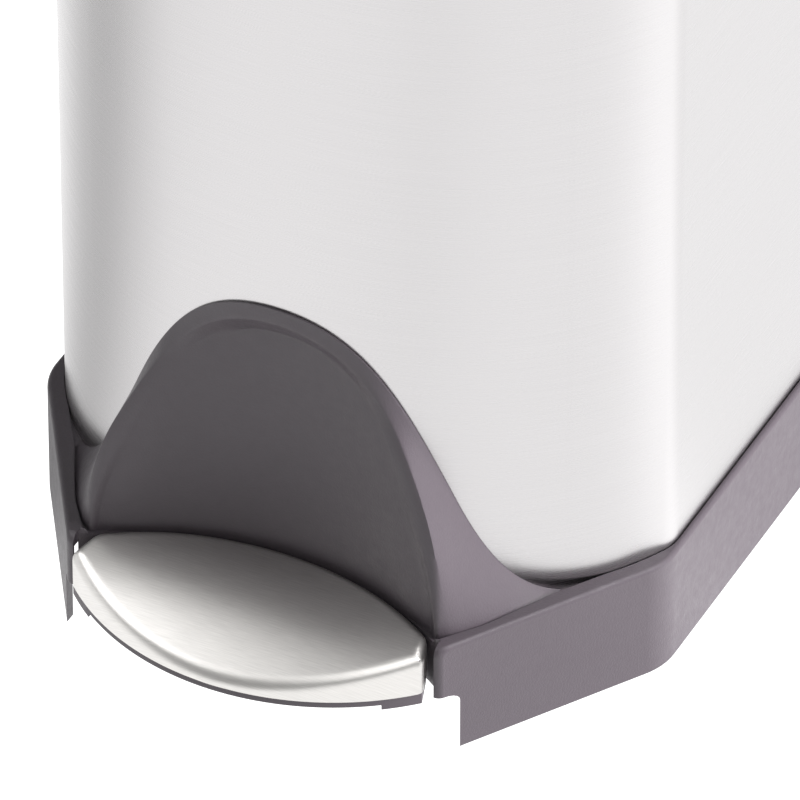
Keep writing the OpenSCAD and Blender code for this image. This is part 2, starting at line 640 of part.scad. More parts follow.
// ---- Lids ----
lid_floor = hinge_z + 2.5;
skirt_rim = hinge_z - 1;
knuckles = [[95, 109], [200, 216], [358, 374]];
module lid_plan(d) intersection() {
  body_plan(d - 2.5);
  translate([lid_gap/2 - d, 0]) square([far, lid_back + d]);
}
module lid_skin() in_frame() difference() {
  translate([0, 0, skirt_rim]) linear_extrude(lid_top - skirt_rim) lid_plan(0);
  translate([0, 0, skirt_rim - 1]) linear_extrude(lid_top - sheet_t - skirt_rim + 1) lid_plan(-sheet_t);
  block([hinge_x - 5, far], [ear_y[0] - 2, ear_y[1] + 2], [0, hinge_z + 4.5]);
  block([hinge_x - 4, hinge_x + 4], [lid_back - 5, lid_back + 5], [0, hinge_z + 4]);
}
module lid_frame() in_frame() difference() {
  union() {
    translate([0, 0, lid_floor]) linear_extrude(lid_top - sheet_t - lid_floor) lid_plan(-sheet_t);
    for (y = knuckles) block([hinge_x - 3.5, hinge_x + 3.2], y, [hinge_z - 2.6, lid_floor + 1]);
  }
  translate([0, 0, lid_floor + 2]) linear_extrude(far) lid_plan(-sheet_t - 2);
  block([hinge_x - 5, far], [ear_y[0] - 2, ear_y[1] + 2], [0, hinge_z + 4.5]);
  rod_along_y(hinge_x, hinge_z, hinge_d/2, [0, far]);
}
module hinge_rod() in_frame()
  rod_along_y(hinge_x, hinge_z, hinge_d/2, [ear_y[0] - 3, crank_y + crank_t]);
module crank() in_frame() difference() {
  union() {
    rod_along_y(hinge_x, hinge_z, eye_r, [crank_y, crank_y + crank_t]);
    rod_along_y(crank_pin_x, crank_pin_z, eye_r, [crank_y, crank_y + crank_t]);
    translate([hinge_x, 0, hinge_z]) rotate([0, 180 - lid_angle/2, 0])
      block([0, crank_r], [crank_y, crank_y + crank_t], [-2.8, 2.8]);
    rod_along_y(crank_pin_x, crank_pin_z, crank_pin_d/2, [crank_y, yoke_y + yoke_t + 2]);
  }
  rod_along_y(hinge_x, hinge_z, hinge_d/2, [crank_y - 1, crank_y + crank_t + 1]);
}
module right_lid_skin() color(steel) lid_skin();
module right_lid_frame() color(black) lid_frame();
module right_hinge_rod() color(zinc) hinge_rod();
module right_crank() color(zinc) crank();
module left_lid_skin() color(steel) mirror([1, 0, 0]) lid_skin();
module left_lid_frame() color(black) mirror([1, 0, 0]) lid_frame();
module left_hinge_rod() color(zinc) mirror([1, 0, 0]) hinge_rod();
module left_crank() color(zinc) mirror([1, 0, 0]) crank();

base_frame();
rubber_feet();
base_screws();
pedal_axle();
axle_clips();
lever_rest_pad();
body_shell();
arch_trim();
rod_channel();
rod_guides();
damper_cylinder();
damper_clips();
rear_cover();
rear_cover_screws();
top_collar();
collar_screws();
mechanism_cover();
lid_bumpers();
inner_bucket();
pedal_cover();
pedal_base();
pedal_lever();
pedal_screws();
lever_pin();
push_rod();
rod_foot();
lift_yoke();
damper_rod();
left_lid_skin();
left_lid_frame();
left_hinge_rod();
left_crank();
right_lid_skin();
right_lid_frame();
right_hinge_rod();
right_crank();
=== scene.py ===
"""Looks of a slim bow-fronted pedal trash can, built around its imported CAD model."""

import json
import math

import bmesh
import bpy
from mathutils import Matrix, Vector


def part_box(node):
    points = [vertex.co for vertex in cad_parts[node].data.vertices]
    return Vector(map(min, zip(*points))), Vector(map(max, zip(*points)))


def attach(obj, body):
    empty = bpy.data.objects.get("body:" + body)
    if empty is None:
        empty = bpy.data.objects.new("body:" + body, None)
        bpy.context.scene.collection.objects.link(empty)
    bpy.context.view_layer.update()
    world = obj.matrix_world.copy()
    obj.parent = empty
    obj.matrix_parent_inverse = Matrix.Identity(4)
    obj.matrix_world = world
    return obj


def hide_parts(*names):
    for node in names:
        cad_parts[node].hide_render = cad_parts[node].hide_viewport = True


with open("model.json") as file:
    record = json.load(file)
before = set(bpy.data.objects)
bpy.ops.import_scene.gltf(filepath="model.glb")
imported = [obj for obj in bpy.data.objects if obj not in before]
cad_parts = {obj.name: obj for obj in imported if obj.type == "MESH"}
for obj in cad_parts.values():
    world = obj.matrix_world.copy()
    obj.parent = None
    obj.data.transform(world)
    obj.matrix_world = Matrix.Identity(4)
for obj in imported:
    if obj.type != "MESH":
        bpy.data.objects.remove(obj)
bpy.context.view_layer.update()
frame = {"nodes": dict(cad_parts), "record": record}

# ---- Working coordinates -------------------------------------------------------
# Shapes are drawn in millimetres: x = 0 on the plane of symmetry, y = 0 at the
# skirt's front legs, z = 0 at the skirt's lower edge. The pedal's nose stands at
# y = -PEDAL_REACH, and the row frame follows from two CAD boxes.
MM = 0.001
PEDAL_REACH = 43
ROW_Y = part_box("pedal_cover")[0].y + PEDAL_REACH * MM
ROW_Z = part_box("base_frame")[0].z


def row(p):
    """A point of the working coordinates in the row frame."""
    return Vector((p[0] * MM, ROW_Y + p[1] * MM, ROW_Z + p[2] * MM))


def local(p):
    """A point of the row frame in the working coordinates."""
    return Vector((p[0] / MM, (p[1] - ROW_Y) / MM, (p[2] - ROW_Z) / MM))


def mix(a, b, t):
    return a * (1 - t) + b * t


# ---- Node materials --------------------------------------------------------------
class Nodes:
    """Short hand for the node tree of one material."""

    def __init__(self, name):
        self.material = bpy.data.materials.new(name)
        self.material.use_nodes = True
        self.tree = self.material.node_tree
        self.shader = self.tree.nodes["Principled BSDF"]

    def add(self, kind, **values):
        node = self.tree.nodes.new("ShaderNode" + kind)
        for key, value in values.items():
            if key in node.inputs:
                node.inputs[key].default_value = value
            else:
                setattr(node, key, value)
        return node

    def link(self, out, into):
        self.tree.links.new(out, into)

    def set(self, **values):
        for key, value in values.items():
            self.shader.inputs[key.replace("_", " ")].default_value = value

    def noise(self, coords, scale, stretch=(1, 1, 1), detail=3.0, rough=0.5):
        """Noise of a given number of grains per metre, stretched along an axis."""
        mapping = self.add("Mapping")
        mapping.inputs["Scale"].default_value = stretch
        self.link(coords, mapping.inputs["Vector"])
        noise = self.add("TexNoise", Scale=scale, Detail=detail, Roughness=rough)
        self.link(mapping.outputs["Vector"], noise.inputs["Vector"])
        return noise.outputs["Fac"]

    def span(self, fac, low, high, first=0.3, last=0.7):
        """A value from low to high as fac goes from first to last."""
        node = self.add("MapRange")
        for key, value in (("From Min", first), ("From Max", last), ("To Min", low), ("To Max", high)):
            node.inputs[key].default_value = value
        self.link(fac, node.inputs["Value"])
        return node.outputs["Result"]

    def blend(self, fac, one, two):
        """A colour between two as fac goes from 0 to 1."""
        node = self.add("Mix", data_type="RGBA")
        node.inputs[6].default_value = (*one, 1)
        node.inputs[7].default_value = (*two, 1)
        self.link(fac, node.inputs[0])
        return node.outputs[2]

    def bump(self, height, strength, distance):
        node = self.add("Bump", Strength=strength, Distance=distance)
        self.link(height, node.inputs["Height"])
        self.link(node.outputs["Normal"], self.shader.inputs["Normal"])

    def coords(self, kind="Object"):
        return self.add("TexCoord").outputs[kind]


def plastic(name, colour, roughness=0.5, grain=1400, depth=0.00006):
    """Spark-eroded moulded plastic: a fine grain, a faint cloudy tone and specks of uneven shine."""
    m = Nodes(name)
    where = m.coords()
    clouds = m.noise(where, scale=9, detail=5)
    specks = m.noise(where, scale=260, detail=3, rough=0.7)
    fine = m.noise(where, scale=grain, detail=2, rough=0.6)
    pale = [c * 1.12 for c in colour]
    m.link(m.blend(m.span(clouds, 0, 1), colour, pale), m.shader.inputs["Base Color"])
    m.link(m.span(specks, roughness - 0.05, roughness + 0.07), m.shader.inputs["Roughness"])
    m.bump(fine, strength=0.55, distance=depth)
    return m.material


def brushed(name, colour, roughness=0.3, aniso=0.4, line=2600, run=14, contrast=0.02, scratch=0.08):
    """Brushed sheet steel: fine scratches along U, broken into strokes of uneven length. There are
    line grains to the metre across the strokes and run along them."""
    m = Nodes(name)
    where = m.coords("UV")
    lines = m.noise(where, scale=1, stretch=(run, line, 1), detail=3, rough=0.6)
    hairs = m.noise(where, scale=1, stretch=(run * 3, line * 2.3, 1), detail=2)
    clouds = m.noise(where, scale=7, detail=4)
    light = [min(1, c * (1 + contrast)) for c in colour]
    dark = [c * (1 - contrast) for c in colour]
    m.link(m.blend(m.span(lines, 0, 1), dark, light), m.shader.inputs["Base Color"])
    uneven = m.add("Math", operation="ADD")
    m.link(m.span(hairs, roughness - 0.03, roughness + 0.04), uneven.inputs[0])
    m.link(m.span(clouds, 0, 0.035), uneven.inputs[1])
    m.link(uneven.outputs[0], m.shader.inputs["Roughness"])
    m.set(Metallic=1, Anisotropic=aniso)
    tangent = m.add("Tangent", direction_type="UV_MAP", uv_map="UVMap")
    m.link(tangent.outputs[0], m.shader.inputs["Tangent"])
    m.bump(hairs, strength=scratch, distance=0.00002)
    return m.material


def plated(name, colour, roughness=0.3, patches=120):
    """Plated steel: a bright skin with a faint crystal pattern and dulled patches, given to the metre."""
    m = Nodes(name)
    where = m.coords()
    cells = m.add("TexVoronoi", Scale=patches * 6)
    m.link(where, cells.inputs["Vector"])
    clouds = m.noise(where, scale=patches, detail=4)
    dull = [c * 0.8 for c in colour]
    m.link(m.blend(m.span(clouds, 0, 1), dull, colour), m.shader.inputs["Base Color"])
    shine = m.span(cells.outputs["Distance"], roughness - 0.05, roughness + 0.1, first=0, last=1)
    m.link(shine, m.shader.inputs["Roughness"])
    m.set(Metallic=1)
    m.bump(clouds, strength=0.1, distance=0.0001)
    return m.material


def rubber(name, colour):
    """Soft matte rubber with a dusty bloom."""
    m = Nodes(name)
    where = m.coords()
    dust = m.noise(where, scale=70, detail=6, rough=0.65)
    dusty = [c + 0.03 for c in colour]
    m.link(m.blend(m.span(dust, 0, 1, first=0.4, last=0.75), colour, dusty), m.shader.inputs["Base Color"])
    m.link(m.span(dust, 0.7, 0.85), m.shader.inputs["Roughness"])
    m.bump(m.noise(where, scale=900), strength=0.4, distance=0.0001)
    return m.material


GREY = (0.057, 0.047, 0.056)
STEEL = (0.56, 0.548, 0.552)
PEDAL_STEEL = (0.67, 0.655, 0.635)
MATERIALS = {
    "body_steel": brushed("body_steel", STEEL, roughness=0.26),
    "lid_steel": brushed("lid_steel", STEEL, roughness=0.28),
    "pedal_steel": brushed("pedal_steel", PEDAL_STEEL, roughness=0.33, aniso=0.3, line=2400, run=110,
                           contrast=0.08, scratch=0.3),
    "base_plastic": plastic("base_plastic", GREY, roughness=0.45, grain=1300, depth=0.0002),
    "trim_plastic": plastic("trim_plastic", GREY, roughness=0.45, grain=1300, depth=0.0002),
    "collar_plastic": plastic("collar_plastic", GREY, roughness=0.5),
    "lid_plastic": plastic("lid_plastic", (0.03, 0.029, 0.031), roughness=0.42, depth=0.00003),
    "inner_plastic": plastic("inner_plastic", (0.035, 0.035, 0.038), roughness=0.5),
    "bucket_plastic": plastic("bucket_plastic", (0.045, 0.045, 0.048), roughness=0.38, grain=600,
                              depth=0.00003),
    "pedal_plastic": plastic("pedal_plastic", GREY, roughness=0.5),
    "guide_plastic": plastic("guide_plastic", (0.014, 0.014, 0.015), roughness=0.25, grain=500,
                             depth=0.00002),
    "zinc_steel": plated("zinc_steel", (0.60, 0.60, 0.58), roughness=0.32),
    "screw_steel": plated("screw_steel", (0.66, 0.66, 0.64), roughness=0.22, patches=400),
    "chrome_rod": plated("chrome_rod", (0.78, 0.78, 0.79), roughness=0.08, patches=40),
    "rubber": rubber("rubber", (0.018, 0.018, 0.018)),
}
SLOT_OF = {part["node"]: part["material_slot"] for part in frame["record"]["subparts"]}
BODY_OF = {n: body for body, names in frame["record"]["behaviour"]["bodies"].items() for n in names}


# ---- Pieces --------------------------------------------------------------------
SAME_PLACE = 1e-6
FLAT_ANGLE = math.radians(0.6)
SHARP_ANGLE = math.radians(35)


def finish_piece(obj, node, sharp=40):
    """Puts a finished mesh in the place of its CAD node."""
    obj.data.polygons.foreach_set("use_smooth", [True] * len(obj.data.polygons))
    obj.data.set_sharp_from_angle(angle=math.radians(sharp))
    even = obj.modifiers.new("even_shading", "WEIGHTED_NORMAL")
    even.keep_sharp = True
    obj.data.materials.clear()
    obj.data.materials.append(MATERIALS[SLOT_OF[node]])
    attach(obj, BODY_OF[node])
    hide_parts(node)
    return obj


def piece(node, points, faces, uvs=None, sharp=40):
    """A new mesh piece from points in working coordinates, in the place of a CAD node."""
    mesh = bpy.data.meshes.new(node + "_visual")
    mesh.from_pydata([row(p) for p in points], [], faces)
    if uvs:
        layer = mesh.uv_layers.new(name="UVMap")
        for loop in mesh.loops:
            layer.data[loop.index].uv = uvs[loop.vertex_index]
    build = bmesh.new()
    build.from_mesh(mesh)
    bmesh.ops.remove_doubles(build, verts=build.verts, dist=SAME_PLACE)
    bmesh.ops.recalc_face_normals(build, faces=build.faces)
    build.to_mesh(mesh)
    build.free()
    obj = bpy.data.objects.new(node + "_visual", mesh)
    bpy.context.scene.collection.objects.link(obj)
    return finish_piece(obj, node, sharp)


def planar_uv(mesh):
    """Projects UVs in metres along each face's main axis, the one its normal is nearest to."""
    layer = mesh.uv_layers.get("UVMap") or mesh.uv_layers.new(name="UVMap")
    for polygon in mesh.polygons:
        lean = [abs(c) for c in polygon.normal]
        if lean[2] >= max(lean[0], lean[1]):
            u, v = 0, 1
        elif lean[0] > lean[1]:
            u, v = 1, 2
        else:
            u, v = 0, 2
        for index in polygon.loop_indices:
            co = mesh.vertices[mesh.loops[index].vertex_index].co
            layer.data[index].uv = (co[u], co[v])


def round_edges(build, edges, radius, segments, clamp):
    bmesh.ops.bevel(build, geom=edges, offset=radius * MM, segments=segments, profile=0.5,
                    affect="EDGES", clamp_overlap=clamp)


def rounded_copy(node, rules=(), width=0.4):
    """The node's own shape with its edges rounded. A rule is (test, radius, segments), and the
    test gets an edge's two ends in working coordinates and the edge. The other sharp edges get a
    small bevel of the given width."""
    mesh = frame["nodes"][node].data.copy()
    build = bmesh.new()
    build.from_mesh(mesh)
    bmesh.ops.remove_doubles(build, verts=build.verts, dist=2 * SAME_PLACE)
    bmesh.ops.dissolve_limit(build, angle_limit=FLAT_ANGLE, verts=build.verts, edges=build.edges)
    for test, radius, segments in rules:
        edges = [e for e in build.edges if test(local(e.verts[0].co), local(e.verts[1].co), e)]
        round_edges(build, edges, radius, segments, clamp=False)
    edges = [e for e in build.edges if len(e.link_faces) == 2 and e.calc_face_angle() > SHARP_ANGLE]
    round_edges(build, edges, width, segments=2, clamp=True)
    bmesh.ops.remove_doubles(build, verts=build.verts, dist=SAME_PLACE)
    bmesh.ops.dissolve_degenerate(build, dist=SAME_PLACE, edges=build.edges)
    build.to_mesh(mesh)
    build.free()
    planar_uv(mesh)
    obj = bpy.data.objects.new(node + "_visual", mesh)
    bpy.context.scene.collection.objects.link(obj)
    return finish_piece(obj, node, sharp=30)


def strip(first, second, closed=False):
    """Quads between two equal rows of point numbers."""
    count = len(first) if closed else len(first) - 1
    return [(first[i], first[(i + 1) % len(first)], second[(i + 1) % len(first)], second[i])
            for i in range(count)]


# ---- Outlines ------------------------------------------------------------------
HALF_W = 119.5
BODY_BACK = 428
SEAM_HALF = 34
SHEET = 1.0
DECK_Z = 44
SHELL_TOP = 548
BOW_R, BOW_ANGLE, BOW_Y = 200, math.radians(11.5), 9.5
SHOULDER_R, CORNER_R, BACK_R = 110, 20, 25
BOW_C = (0, BOW_Y + BOW_R)
SHOULDER_C = (BOW_C[0] + (BOW_R - SHOULDER_R) * math.sin(BOW_ANGLE),
              BOW_C[1] - (BOW_R - SHOULDER_R) * math.cos(BOW_ANGLE))
SHOULDER_ANGLE = math.asin((HALF_W - CORNER_R - SHOULDER_C[0]) / (SHOULDER_R - CORNER_R))
CORNER_C = (SHOULDER_C[0] + (SHOULDER_R - CORNER_R) * math.sin(SHOULDER_ANGLE),
            SHOULDER_C[1] - (SHOULDER_R - CORNER_R) * math.cos(SHOULDER_ANGLE))


def steel_frame(x):
    """The steel's front at a distance x from the middle: (y, outward normal)."""
    a = abs(x)
    if a <= BOW_R * math.sin(BOW_ANGLE):
        c, r = BOW_C, BOW_R
    elif a <= SHOULDER_C[0] + SHOULDER_R * math.sin(SHOULDER_ANGLE):
        c, r = SHOULDER_C, SHOULDER_R
    else:
        c, r = CORNER_C, CORNER_R
    sine = (a - c[0]) / r
    cosine = math.sqrt(max(0.0, 1 - sine * sine))
    return c[1] - r * cosine, (math.copysign(sine, x), -cosine)


def steel_y(x):
    """The steel's front at a distance x from the middle."""
    return steel_frame(x)[0]


def arc_frames(centre, radius, start, end, step=2.0):
    """Points with outward normals along an arc given in degrees."""
    count = max(2, round(abs(end - start) / step))
    result = []
    for i in range(count + 1):
        a = math.radians(start + (end - start) * i / count)
        n = (math.cos(a), math.sin(a))
        result.append((centre[0] + radius * n[0], centre[1] + radius * n[1], n))
    return result


def half_outline():
    """The right half of the steel's outline behind the arch, to the rear opening: (x, y, normal)."""
    shoulder = math.degrees(SHOULDER_ANGLE)
    start = math.degrees(math.asin((CUT_X - SHOULDER_C[0]) / SHOULDER_R))
    corner = (HALF_W - BACK_R, BODY_BACK - BACK_R)
    return (arc_frames(SHOULDER_C, SHOULDER_R, start - 90, shoulder - 90)[1:]
            + arc_frames(CORNER_C, CORNER_R, shoulder - 90, 0, 3)[1:]
            + arc_frames(corner, BACK_R, 0, 90, 4)
            + [(SEAM_HALF, BODY_BACK, (0, 1))])


# ---- Arch -----------------------------------------------------------------------
SCOOP_R, SCOOP_Y = 120, 16.5
FOOT_X, CREASE_X = 94, 69
CUTOUT = 0.42
ARCH_OUTER = [[(0, 157), (32, 157), (47, 130), (63, 89)], [(63, 89), (71, 68.5), (80, 49), (FOOT_X, DECK_Z)]]
ARCH_CREASE = [[(0, 149), (28, 149), (46, 122), (60, 92)], [(60, 92), (66, 79), (69, 64), (CREASE_X, DECK_Z)]]
ARCH_PANEL = [[(0, 142), (24, 142), (37, 130), (48, 98)], [(48, 98), (55, 82), (64, 66), (65, DECK_Z)]]


def along(arch, s):
    """The point (x, z) of a half arch, from its top at s = 0 to its foot at s = 1."""
    part, t = (arch[0], 2 * s) if s <= 0.5 else (arch[1], 2 * s - 1)
    weights = ((1 - t) ** 3, 3 * t * (1 - t) ** 2, 3 * t * t * (1 - t), t ** 3)
    return [sum(w * p[axis] for w, p in zip(weights, part)) for axis in (0, 1)]


def arch_mid(s, f):
    """A point of the band, from its outer edge at f = 0 to its crease at f = 1."""
    a, b = along(ARCH_OUTER, s), along(ARCH_CREASE, s)
    return [mix(a[0], b[0], f), mix(a[1], b[1], f)]


def scoop_at(x):
    """The scoop's y at a distance x from the middle. The pedal's back follows it."""
    return SCOOP_Y - SCOOP_R + math.sqrt(SCOOP_R ** 2 - x * x)


CUT_X = arch_mid(1, CUTOUT)[0]
CUT_STEPS = 48


# ---- Steel body -----------------------------------------------------------------
def body_shell():
    """The folded sheet: upright columns along the outline, cut along the arch in front."""
    cut = [arch_mid(i / CUT_STEPS, CUTOUT) for i in range(CUT_STEPS + 1)]
    half = [(x, steel_y(x), steel_frame(x)[1], z) for x, z in cut]
    half += [(x, y, n, DECK_Z) for x, y, n in half_outline()]
    columns = [(-x, y, (-n[0], n[1]), z) for x, y, n, z in reversed(half[1:])] + half
    points, uvs, rows = [], [], {key: [] for key in ("out_low", "out_top", "in_low", "in_top")}
    run = 0
    for i, (x, y, n, z) in enumerate(columns):
        if i:
            run += math.dist((x, y), columns[i - 1][:2])
        for key, inset, height in (("out_low", 0, z), ("out_top", 0, SHELL_TOP),
                                   ("in_low", SHEET, z), ("in_top", SHEET, SHELL_TOP)):
            rows[key].append(len(points))
            points.append((x - n[0] * inset, y - n[1] * inset, height))
            uvs.append((run * MM, height * MM))
    faces = (strip(rows["out_low"], rows["out_top"]) + strip(rows["in_top"], rows["in_low"])
             + strip(rows["out_top"], rows["in_top"]) + strip(rows["in_low"], rows["out_low"]))
    for end in (0, -1):
        faces.append([rows[key][end] for key in ("out_low", "out_top", "in_top", "in_low")])
    return piece("body_shell", points, faces, uvs)


# ---- Arch trim --------------------------------------------------------------------
PANEL_T = 2.5
LIP, TAIL_LIP, TAIL_S = 1.0, 4.5, 0.8
BACK_GAP = 0.15
CREASE_BACK = 1.5
DEPTH_BLEND = 7
LEVELS = 72
BAND_STEPS, SLOPE_STEPS, PANEL_STEPS = 14, 6, 16
BAND_SPREAD = 0.8
SMOOTH_BEFORE, SMOOTH_AFTER, SMOOTH_PASSES = 6, 9, 16


def crease_depth(x):
    """The crease's y: just behind the scoop's curve or a lip in front of the steel, whichever is
    further forward, with a soft change where the two are close."""
    scooped = scoop_at(x) + CREASE_BACK
    flush = steel_y(x) - LIP
    overlap = max(0, DEPTH_BLEND - abs(scooped - flush)) / DEPTH_BLEND
    return min(scooped, flush) - overlap ** 2 * DEPTH_BLEND / 4


def smoothed(line):
    """The line with its crease softened by averaging the depths of neighbours."""
    for _ in range(SMOOTH_PASSES):
        soft = list(line)
        for i in range(BAND_STEPS - SMOOTH_BEFORE, BAND_STEPS + SMOOTH_AFTER):
            soft[i] = line[i].copy()
            soft[i].y = (line[i - 1].y + 2 * line[i].y + line[i + 1].y) / 4
        line = soft
    return line


def trim_row(s):
    """One level of the trim's front, from its outer edge over band and slope to the panel's middle."""
    lip = LIP + (TAIL_LIP - LIP) * (max(0, s - TAIL_S) / (1 - TAIL_S)) ** 2
    crease = along(ARCH_CREASE, s)
    panel = along(ARCH_PANEL, s)
    depth = crease_depth(crease[0])
    line = []
    for i in range(BAND_STEPS + 1):
        f = (i / BAND_STEPS) ** BAND_SPREAD
        x, z = arch_mid(s, f)
        follow = depth + (steel_y(x) - steel_y(crease[0])) * (1 - f)
        line.append(Vector((x, mix(steel_y(x) - lip, follow, f), z)))
    for i in range(1, SLOPE_STEPS + 1):
        t = i / SLOPE_STEPS
        y = mix(depth, scoop_at(panel[0]), t)
        line.append(Vector((mix(crease[0], panel[0], t), y, mix(crease[1], panel[1], t))))
    for i in range(1, PANEL_STEPS + 1):
        x = panel[0] * (1 - i / PANEL_STEPS)
        line.append(Vector((x, scoop_at(x), panel[1])))
    return smoothed(line)


def arch_trim():
    """A thick skin: its front rows, and back rows that lie on the steel near the outer edge."""
    points, rows_front, rows_back = [], [], []
    edge_steps = BAND_STEPS // 2
    for level in range(LEVELS + 1):
        half = trim_row(level / LEVELS)
        line = [Vector((-p.x, p.y, p.z)) for p in half] + half[-2::-1]
        rows_front.append(range(len(points), len(points) + len(line)))
        points += [tuple(p) for p in line]
        rows_back.append(range(len(points), len(points) + len(line)))
        for i, p in enumerate(line):
            on_steel = min(i, len(line) - 1 - i) < edge_steps
            points.append((p.x, steel_y(p.x) - BACK_GAP if on_steel else p.y + PANEL_T, p.z))
    faces = []
    for i in range(LEVELS):
        faces += strip(rows_front[i], rows_front[i + 1])
        faces += strip(rows_back[i + 1], rows_back[i])
        for end in (0, -1):
            faces.append((rows_front[i][end], rows_front[i + 1][end],
                          rows_back[i + 1][end], rows_back[i][end]))
    faces += strip(rows_back[-1], rows_front[-1])
    return piece("arch_trim", points, faces, sharp=50)


# ---- Pedal --------------------------------------------------------------------------
NOSE_R, PEDAL_HALF, BACK_HALF = 97, 68.5, 64.5
PEDAL_GAP = 0.8
ROLL_R, ROLL_Y, PEDAL_TOP, COVER_Z = 108, 10, 47, 29
EDGE_R, EDGE_STEPS, TOP_RINGS = 4, 10, 12
MIDDLE_Y = -12
PEDAL_SHEET = 1.2
NOSE_STEPS, BACK_STEPS = 30, 24
LOOP_STEP, CORNER_PASSES = 0.77, 6


def pedal_nose(x):
    """The pedal's front at a distance x from the middle."""
    return NOSE_R - PEDAL_REACH - math.sqrt(NOSE_R ** 2 - x * x)


def pedal_back(x):
    """The pedal's back, a gap in front of the scoop."""
    return SCOOP_Y - SCOOP_R + math.sqrt((SCOOP_R - PEDAL_GAP) ** 2 - x * x)


def pedal_loop():
    """The pedal seen from above: nose arc, slanted ends, back along the scoop, soft corners."""
    nose = [PEDAL_HALF * math.sin(math.pi / 2 * i / NOSE_STEPS) for i in range(-NOSE_STEPS, NOSE_STEPS + 1)]
    back = [BACK_HALF * (1 - i / BACK_STEPS) for i in range(2 * BACK_STEPS + 1)]
    loop = [Vector((x, pedal_nose(x))) for x in nose] + [Vector((x, pedal_back(x))) for x in back]
    loop = resample(loop, LOOP_STEP)
    for _ in range(CORNER_PASSES):
        loop = [(loop[i - 1] + 2 * loop[i] + loop[(i + 1) % len(loop)]) / 4 for i in range(len(loop))]
    return loop


def resample(loop, step):
    """The closed loop with points at even distances of about a step."""
    lengths = [(loop[(i + 1) % len(loop)] - loop[i]).length for i in range(len(loop))]
    count = round(sum(lengths) / step)
    step = sum(lengths) / count
    result, i, used = [], 0, 0.0
    for k in range(count):
        target = k * step
        while used + lengths[i] < target:
            used += lengths[i]
            i += 1
        t = (target - used) / lengths[i] if lengths[i] else 0
        result.append(loop[i].lerp(loop[(i + 1) % len(loop)], t))
    return result


def inset(loop, distance):
    """The loop moved inwards along its own normals (anticlockwise loops)."""
    result = []
    for i, p in enumerate(loop):
        d = (loop[(i + 1) % len(loop)] - loop[i - 1]).normalized()
        result.append(p + Vector((-d.y, d.x)) * distance)
    return result


def roll_z(y):
    """The height of the pedal's top, an arc of ROLL_R that is highest at ROLL_Y."""
    return PEDAL_TOP - ROLL_R + math.sqrt(ROLL_R ** 2 - (y - ROLL_Y) ** 2)


def top_rings(loop):
    """Rings from the loop in to the middle of the pedal's top, over a rounded edge of EDGE_R."""
    middle = Vector((0, MIDDLE_Y))
    normals = [(loop[(i + 1) % len(loop)] - loop[i - 1]).normalized() for i in range(len(loop))]
    depths = [n.y * (p.x - middle.x) - n.x * (p.y - middle.y) for p, n in zip(loop, normals)]
    bend = [1 - math.cos(math.pi / 2 * i / EDGE_STEPS) for i in range(EDGE_STEPS + 1)]
    steps = [EDGE_R / min(depths) * b for b in bend]
    steps += [mix(steps[-1], 1, k / (TOP_RINGS + 1)) for k in range(1, TOP_RINGS + 1)]
    rings = []
    for step in steps:
        ring = []
        for p, depth in zip(loop, depths):
            at = p.lerp(middle, step)
            short = max(0, EDGE_R - step * depth)
            ring.append((at.x, at.y, roll_z(at.y) - EDGE_R + math.sqrt(EDGE_R ** 2 - short ** 2)))
        rings.append(ring)
    return rings, (middle.x, middle.y, roll_z(middle.y))


def pedal_cover():
    """The sheet cover: a short way up inside, round its lower edge, up the wall and over the top."""
    loop = pedal_loop()
    hem, wall_foot, inside_top = COVER_Z, COVER_Z + 0.2, COVER_Z + 3
    inner = inset(loop, PEDAL_SHEET)
    rings = [[(p.x, p.y, inside_top) for p in inner],
             [(p.x, p.y, hem) for p in inset(loop, PEDAL_SHEET - 0.2)],
             [(p.x, p.y, hem) for p in inset(loop, 0.3)],
             [(p.x, p.y, wall_foot) for p in loop],
             [(p.x, p.y, mix(wall_foot, roll_z(p.y) - EDGE_R, 0.5)) for p in loop]]
    over, middle = top_rings(loop)
    points, rows = [], []
    for ring in rings + over:
        rows.append(range(len(points), len(points) + len(ring)))
        points += ring
    faces = [f for a, b in zip(rows, rows[1:]) for f in strip(a, b, closed=True)]
    last = rows[-1]
    faces += [(last[i], last[(i + 1) % len(last)], len(points)) for i in range(len(last))]
    points.append(middle)
    uvs = [(x * MM, y * MM - (PEDAL_TOP - z) * MM) for x, y, z in points]
    return piece("pedal_cover", points, faces, uvs, sharp=50)


# ---- Room, light and camera -----------------------------------------------------------
CAMERA_TURN, CAMERA_DOWN = math.radians(26.4), math.radians(38)
CAMERA_DISTANCE = 4202
CAMERA_TARGET = Vector((0, 40, 40))
CAMERA_RIGHT, CAMERA_UP = 29.1, 44.0
LENS, SENSOR = 540, 36


def camera():
    """Long lens from the right and above, moved sideways and up so that it looks past the target."""
    sine, cosine = math.sin(CAMERA_TURN), math.cos(CAMERA_TURN)
    level = math.cos(CAMERA_DOWN)
    right = Vector((cosine, sine, 0))
    ahead = Vector((-sine * level, cosine * level, -math.sin(CAMERA_DOWN)))
    up = right.cross(ahead)
    place = CAMERA_TARGET - ahead * CAMERA_DISTANCE + right * CAMERA_RIGHT + up * CAMERA_UP
    data = bpy.data.cameras.new("camera")
    data.sensor_width = SENSOR
    data.lens = LENS
    data.clip_end = 50
    obj = bpy.data.objects.new("camera", data)
    obj.location = row(place)
    obj.rotation_euler = ahead.to_track_quat("-Z", "Y").to_euler()
    bpy.context.scene.collection.objects.link(obj)
    bpy.context.scene.camera = obj


